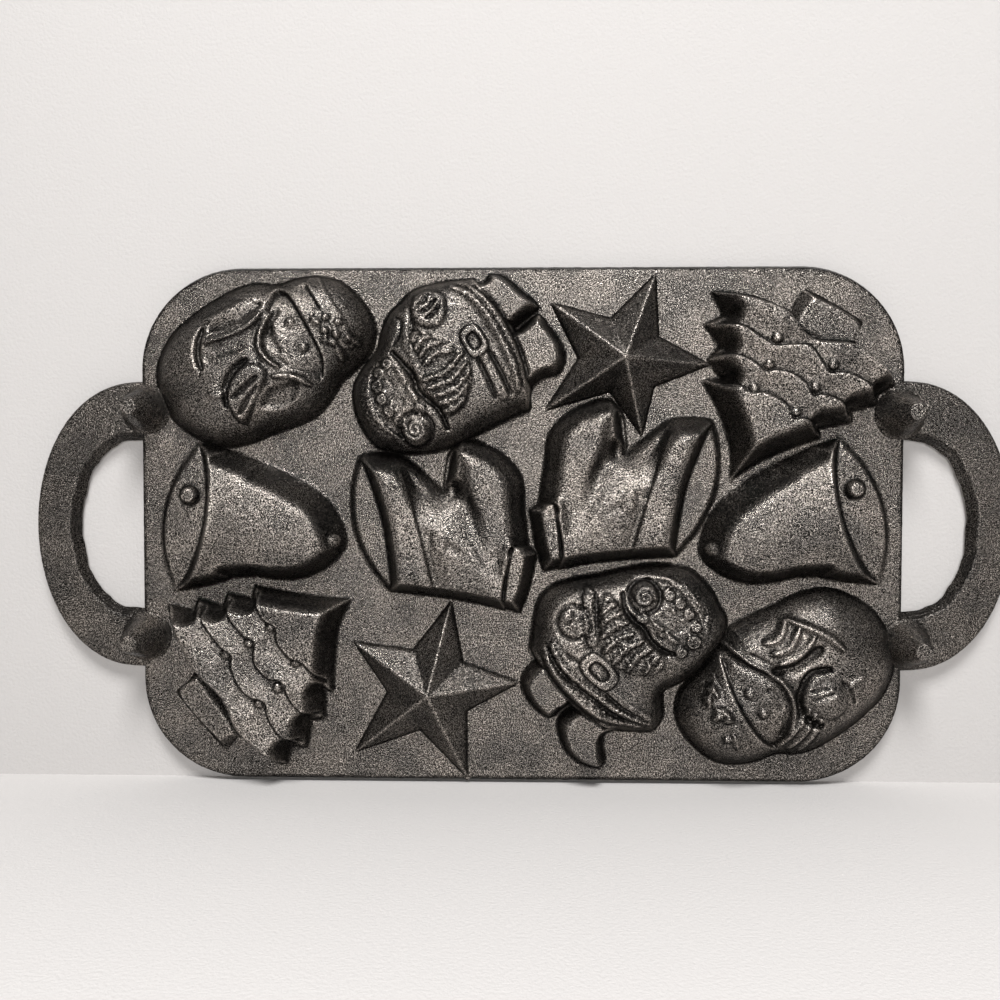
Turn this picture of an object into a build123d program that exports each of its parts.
from build123d import *

import os
from math import cos, radians, sin, tan

# A cast iron muffin pan with twelve figure cups, two loop handles and four cone feet.
# The pan stands on its feet: the floor is at Z = 0 and the mouths of the cups open upwards.
# Sizes are in millimetres. X runs along the pan, from handle to handle.

# Plate: the cups stand in four columns and three rows, and the margins lie beyond the outer ones
column_pitch = 68.0
row_pitch = 60.0
end_margin = 43.0
side_margin = 38.0
plate_corner = 39.0
plate_thick = 5.5
edge_draft = 12.0

# Feet
foot_height = 18.5
foot_root = 16.0
foot_tip = 4.6
foot_tip_round = 1.2
foot_from_end = 3.0

# Handles
handle_reach = 40.4
handle_root_width = 110.0
handle_bar = 15.5
gap_root_width = 67.0
gap_corner = 4.0
handle_edge_round = 1.4

# Cups
wall = 3.0
mouth_draft = 8.0
side_lean = 6.0
crown_step = 5.0
crown_start = 0.8
bell_height = 15.0
boot_height = 14.5
snowman_height = 15.5
santa_height = 15.0
tree_height = 14.5
tier_drop = 1.2
tree_lean = 5.0
star_height = 15.0
star_rim = 1.2
star_reach = 34.5
star_notch = 16.3
lens_height = 3.0
trunk_height = 4.0
shoe_height = 8.0
heel_height = 8.5
clapper_ball = 9.0
clapper_height = 6.0
bauble_ball = 3.8
bauble_rise = 1.2
knob_lean = 0.3

# Heights and plate sizes worked out from the sizes above
underside = foot_height
plate_top = underside + plate_thick
plate_long = 3 * column_pitch + 2 * end_margin
plate_wide = 2 * row_pitch + 2 * side_margin
end_of_plate = plate_long / 2
foot_of_edge = end_of_plate - plate_thick * tan(radians(edge_draft))

# Places along the handles
root_half = handle_root_width / 2
root_inside = foot_of_edge - 2 * gap_corner
handle_end = end_of_plate + handle_reach
gap_half = gap_root_width / 2
gap_end = handle_end - handle_bar

# Common place of the feet, on the plate's end and in the middle of a handle's root
foot_from_middle = end_of_plate - foot_from_end
foot_row = (root_half + gap_half) / 2

# How far each side of the star stands from its middle
star_side = (star_reach**2 + star_notch**2 - 2 * star_reach * star_notch * cos(radians(36))) ** 0.5
facet_reach = star_reach * star_notch * sin(radians(36)) / star_side


def figure_plane(x, y, turn):
    """The underside of the plate at a figure, seen from below, with +Y towards the figure's head."""
    along = (cos(radians(turn)), sin(radians(turn)), 0)
    return Plane(origin=(x, y, underside), x_dir=along, z_dir=(0, 0, -1))


def moved_in(corners, distance):
    """A closed outline with each side moved inwards by one distance."""
    count = len(corners)
    result = []
    for i in range(count):
        here = Vector(*corners[i])
        side_in = (here - Vector(*corners[i - 1])).normalized()
        side_out = (Vector(*corners[(i + 1) % count]) - here).normalized()
        inward_in = Vector(-side_in.Y, side_in.X)
        middle = (inward_in + Vector(-side_out.Y, side_out.X)).normalized()
        moved = here + middle * (distance / middle.dot(inward_in))
        result.append((moved.X, moved.Y))
    return result


def form(corners, height, lean=side_lean, smooth=False, pointed=False):
    """One raised form: its outline, its height, how far its side leans in, and whether it ends in a point."""
    return {"corners": corners, "height": height, "lean": lean, "smooth": smooth, "pointed": pointed}


def dome(x, y, half_wide, half_long, height, turn=0, lean=side_lean, crown=crown_step):
    """One raised oval form. Its crown is the second, flatter slope over the leaning side."""
    return {"oval": (x, y, half_wide, half_long, turn), "height": height, "lean": lean, "crown": crown}


def knob(x, y, diameter, height):
    """One small round form without a hollow."""
    shape = dome(x, y, diameter / 2, diameter / 2, height, lean=knob_lean, crown=diameter / 5)
    shape["massive"] = True
    return shape


def outline_face(shape, inset, hand):
    """The face inside a form's outline, moved inwards by the inset. A hand of -1 mirrors it."""
    with BuildSketch() as outline:
        if "oval" in shape:
            x, y, half_wide, half_long, turn = shape["oval"]
            with Locations(Location((hand * x, y), hand * turn)):
                Ellipse(half_wide - inset, half_long - inset)
        else:
            corners = [(hand * x, y) for x, y in moved_in(shape["corners"], inset)]
            with BuildLine():
                if shape["smooth"]:
                    Spline(*corners, periodic=True)
                else:
                    Polyline(*corners, close=True)
            make_face()
    return outline.sketch


def pointed(plane, shape, skin):
    """A pyramid on its low rim, or with a skin, the hollow that this wall leaves."""
    rise = shape["height"] - star_rim
    steepness = (facet_reach**2 + rise**2) ** 0.5 / rise
    inset = skin * steepness
    with BuildPart() as block:
        if not skin:
            with BuildSketch(plane):
                add(outline_face(shape, 0, 1))
            extrude(amount=star_rim)
        base = plane if skin else plane.offset(star_rim)
        with BuildSketch(base) as footprint:
            add(outline_face(shape, inset, 1))
        top = base.from_local_coords((0, 0, rise * (1 - inset / facet_reach)))
        loft(sections=[footprint.sketch.face(), Vertex(top)], ruled=True)
    return block.part


def raised(plane, hand, shape, skin):
    """One form lofted on the plane, or with a skin, the hollow that this wall leaves."""
    if shape.get("pointed"):
        return pointed(plane, shape, skin)
    crown = shape.get("crown", 0)
    top = shape["height"] - skin
    with BuildPart() as block:
        with BuildSketch(plane):
            add(outline_face(shape, skin, hand))
        with BuildSketch(plane.offset(top * crown_start if crown else top)):
            add(outline_face(shape, skin + shape["lean"], hand))
        if crown:
            with BuildSketch(plane.offset(top)):
                add(outline_face(shape, skin + shape["lean"] + crown, hand))
        loft(ruled=True)
    return block.part


# Outlines of the figures, head upwards, anticlockwise, measured at the underside of the plate
# The low forms reach in under the high ones, so that the hollows of a figure run into each other


def bell(_):
    lens = form([(-26, -26.5), (-12, -33), (3, -35.3), (18, -33), (31.5, -26.5), (14, -8), (-14, -8)],
                lens_height, lean=1.0)
    body = form([(-26, -26), (2, -20), (31.5, -26), (22.5, -4), (20, 12), (13.5, 28.5), (1, 36),
                 (-11.5, 28), (-20.5, 10)], bell_height * crown_start)
    barrel = dome(1, 4, 21, 31, bell_height)
    clapper = knob(-4.5, -25, clapper_ball, clapper_height)
    return [lens, body, barrel, clapper]


def boot(_):
    lens = form([(-19, 24.5), (-12, 8), (26, 8), (33, 24), (22, 30), (8, 32.5), (-6, 30.5)],
                lens_height, lean=1.0)
    low = form([(-18, 23), (-38, -21), (-17.5, -33.5), (12, -34.5), (24, -28), (31, -16), (13, -4),
                (25, 3), (32, 12), (32, 23), (8, 17.5)], heel_height, lean=3.0)
    leg = form([(-18, 23), (-33, -14), (-15, -27), (0, -27), (9, -11), (26, 4), (32, 23), (8, 17.5)],
               boot_height)
    foot = dome(9, -20, 21.5, 12.5, boot_height - 1.0, turn=8, lean=5.0, crown=3.0)
    return [lens, low, leg, foot]


def star(_):
    corners = []
    for i in range(10):
        reach = star_notch if i % 2 else star_reach
        angle = radians(90 + 36 * i)
        corners.append((reach * cos(angle), reach * sin(angle)))
    return [form(corners, star_height, pointed=True)]


def snowman(_):
    body = form([(4, 44.5), (-12, 39.5), (-20, 27), (-26, 11), (-27.5, -7), (-23.5, -27), (-8, -40.5),
                 (8, -40.5), (23, -29), (27.5, -10), (29.5, 8), (22.5, 23), (17.5, 38)],
                snowman_height * crown_start, lean=5.0, smooth=True)
    belly = dome(1, -14, 25, 24, snowman_height)
    head = dome(3, 11, 23, 17, snowman_height - 1.5)
    hat = dome(1, 28, 18, 13.5, snowman_height - 0.8, lean=4.0, crown=3.0)
    return [body, belly, head, hat]


santa_coats = [
    [(3, 41), (-8, 42), (-18, 36), (-25, 24), (-28, 14), (-29, 0), (-31, -15), (-22, -23), (-2, -26),
     (20, -24), (29, -8), (30, 3), (24, 16), (17, 26), (13, 35)],
    [(2, 40.5), (-10, 40), (-18, 34.5), (-28, 21), (-38, 4), (-41, -6), (-35, -18), (-27, -26.5),
     (-10, -28.5), (8, -26.5), (18, -20), (25.5, -11), (19, 0), (19.5, 14), (18.5, 26), (12, 37)],
]
santa_shoes = [
    [[(-2, -12), (-23, -12), (-25, -31), (-16, -38.5), (-3, -37.5)],
     [(19, -12), (-1, -12), (-1, -38.5), (8, -37), (20, -30)]],
    [[(-3, -16), (-22, -16), (-23.5, -33), (-14, -39), (-4, -38)],
     [(15, -16), (-1, -16), (-1, -36.5), (8, -41), (18, -40), (23, -34.5)]],
]


def santa(pose):
    middle = (0.0, -9.0)[pose]
    coat = form(santa_coats[pose], santa_height * crown_start, lean=5.0, smooth=True)
    chest = dome(middle, -3, 26, 20, santa_height - 1.0)
    head = dome(-2.5, 22, 17, 16, santa_height)
    shoes = [form(shoe, shoe_height, lean=2.5) for shoe in santa_shoes[pose]]
    return [coat, chest, head] + shoes


tree_tips = [(-1, 48), (2, 46)]
tree_tiers = [
    [[(-25.5, 20), (0, 14), (25, 21)],
     [(-29, 10), (0, 3), (31.5, 12)],
     [(-33.5, -0.5), (1, -8), (37, 1)],
     [(-38.5, -11.5), (-19, -16.5), (21, -16), (38, -9)]],
    [[(-21, 17), (0, 11), (28.5, 17)],
     [(-29, 7), (0, 0.5), (30, 9.5)],
     [(-34.5, -3), (0, -11), (37, -2)],
     [(-37, -12.5), (-18, -19.5), (15, -20), (40, -14)]],
]
tree_trunks = [
    [(-10, 0), (-8.5, -28), (20, -25), (18, 0)],
    [(-16.5, -4), (-15.5, -28), (9.5, -30), (9, -4)],
]
bauble_places = [(-9, 16), (7, 17), (-9, 6), (12, 6), (-10.5, -5), (14, -5)]


def tree(pose):
    forms = [form(tree_trunks[pose], trunk_height, lean=1.0)]
    for tier, edge in enumerate(tree_tiers[pose]):
        forms.append(form([tree_tips[pose]] + edge, tree_height - tier * tier_drop, lean=tree_lean))
    for number, (x, y) in enumerate(bauble_places):
        height = tree_height - number // 2 * tier_drop + bauble_rise
        forms.append(knob(x, y, bauble_ball, height))
    return forms


# Each foot: its name, its end and side of the pan, and how far it is off the common place:
# inwards along the pan, and towards the pan's middle line
feet = [
    ("foot_front_left", -1, -1, 0.0, 0.2),
    ("foot_front_right", 1, -1, 0.0, 2.2),
    ("foot_back_left", -1, 1, -0.5, 1.7),
    ("foot_back_right", 1, 1, -3.2, 0.2),
]

# Each cup: its name, figure, pose, column, row, shift from there, turn and hand
layout = [
    ("snowman_cup_front_left", snowman, 0, 0, 0, 4.5, -3.4, 62.0, 1),
    ("santa_cup_front", santa, 0, 1, 0, 8.5, -1.8, -122.0, 1),
    ("star_cup_front", star, 0, 2, 0, 4.4, -2.3, 21.0, 1),
    ("tree_cup_front_right", tree, 1, 3, 0, -0.9, 2.1, -154.0, 1),
    ("bell_cup_left", bell, 0, 0, 1, 1.8, -1.3, 99.7, 1),
    ("boot_cup_left", boot, 0, 1, 1, 4.0, 0.8, -103.4, 1),
    ("boot_cup_right", boot, 0, 2, 1, 6.9, -13.7, -254.0, -1),
    ("bell_cup_right", bell, 0, 3, 1, -0.5, -1.5, -105.6, -1),
    ("tree_cup_back_left", tree, 0, 0, 2, -0.9, -4.6, 56.0, 1),
    ("star_cup_back", star, 0, 1, 2, 0.2, 2.0, 13.5, 1),
    ("santa_cup_back", santa, 1, 2, 2, 8.0, -9.3, 48.0, 1),
    ("snowman_cup_back_right", snowman, 0, 3, 2, -0.5, -2.1, -122.0, 1),
]
cups = []
for name, figure, pose, column, row, shift_x, shift_y, turn, hand in layout:
    x = (column - 1.5) * column_pitch + shift_x
    y = (row - 1) * row_pitch + shift_y
    cups.append((name, figure, pose, x, y, turn, hand))


def full_cup(figure, pose, x, y, turn, hand):
    """A figure without its hollow."""
    with BuildPart() as full:
        for shape in figure(pose):
            add(raised(figure_plane(x, y, turn), hand, shape, 0))
    return full.part


def is_deep(shape):
    """Whether a form is deep enough to be hollow."""
    return shape["height"] > 2 * wall and not shape.get("massive")


def hollows(figure, pose, x, y, turn, hand):
    """What the wall leaves free inside the deep forms of a figure."""
    plane = figure_plane(x, y, turn)
    return [raised(plane, hand, shape, wall) for shape in figure(pose) if is_deep(shape)]


def mouth(figure, pose, x, y, turn, hand):
    """The opening of a cup through the plate, a little wider at the top."""
    plane = figure_plane(x, y, turn)
    growth = plate_thick * tan(radians(mouth_draft))
    with BuildPart() as opening:
        for shape in figure(pose):
            if "oval" not in shape:
                with BuildSketch(plane):
                    add(outline_face(shape, wall, hand))
                with BuildSketch(plane.offset(-plate_thick)):
                    add(outline_face(shape, wall - growth, hand))
                loft(ruled=True)
    return opening.part


full_cups = [full_cup(*cup[1:]) for cup in cups]

os.makedirs("parts", exist_ok=True)

# Plate: a rounded rectangle whose edge slopes out to the top, with an open mouth at each cup
with BuildPart() as blank:
    with BuildSketch(Plane.XY.offset(plate_top)):
        RectangleRounded(plate_long, plate_wide, plate_corner)
    extrude(amount=-plate_thick, taper=edge_draft)

with BuildPart() as plate:
    add(blank.part)
    for cup in cups:
        add(mouth(*cup[1:]), mode=Mode.SUBTRACT)
plate.part.label = "plate"
export_step(plate.part, "parts/plate.step")

# Feet: four round cones under the roots of the handles
cones = []
for name, end, side, inwards, to_middle in feet:
    with BuildPart() as foot:
        with Locations((end * (foot_from_middle - inwards), side * (foot_row - to_middle))):
            Cone(foot_tip / 2, foot_root / 2, foot_height, align=(Align.CENTER, Align.CENTER, Align.MIN))
        fillet(foot.edges().group_by(Axis.Z)[0], foot_tip_round)
    foot.part.label = name
    export_step(foot.part, f"parts/{name}.step")
    cones.append(foot.part)

# Cups: each is a shell under the plate, and makes room for the feet and cups that it touches
for number, cup in enumerate(cups):
    name = cup[0]
    with BuildPart() as shell:
        add(full_cups[number])
        for hollow in hollows(*cup[1:]):
            add(hollow, mode=Mode.SUBTRACT)
        for neighbour in cones + full_cups[:number]:
            add(neighbour, mode=Mode.SUBTRACT)
    shell.part.label = name
    export_step(shell.part, f"parts/{name}.step")

# Handles: a loop at each end of the plate, cut to its sloping edge, the left one a mirror of the right
with BuildPart() as right_handle:
    with BuildSketch(Plane.XY.offset(underside)):
        with BuildLine():
            ThreePointArc((end_of_plate, -root_half), (handle_end, 0), (end_of_plate, root_half))
            Polyline((end_of_plate, root_half), (root_inside, root_half), (root_inside, -root_half),
                     (end_of_plate, -root_half))
        make_face()
        with BuildSketch(mode=Mode.PRIVATE) as gap:
            with BuildLine():
                ThreePointArc((foot_of_edge, -gap_half), (gap_end, 0), (foot_of_edge, gap_half))
                Line((foot_of_edge, gap_half), (foot_of_edge, -gap_half))
            make_face()
            fillet(gap.vertices(), gap_corner)
        add(gap.sketch, mode=Mode.SUBTRACT)
    extrude(amount=plate_thick)
    level_edges = edges().group_by(Axis.Z)[0] + edges().group_by(Axis.Z)[-1]
    fillet([edge for edge in level_edges if edge.geom_type == GeomType.CIRCLE], handle_edge_round)
    add(blank.part, mode=Mode.SUBTRACT)
right_handle.part.label = "right_handle"
export_step(right_handle.part, "parts/right_handle.step")

with BuildPart() as left_handle:
    add(mirror(right_handle.part, about=Plane.YZ))
left_handle.part.label = "left_handle"
export_step(left_handle.part, "parts/left_handle.step")
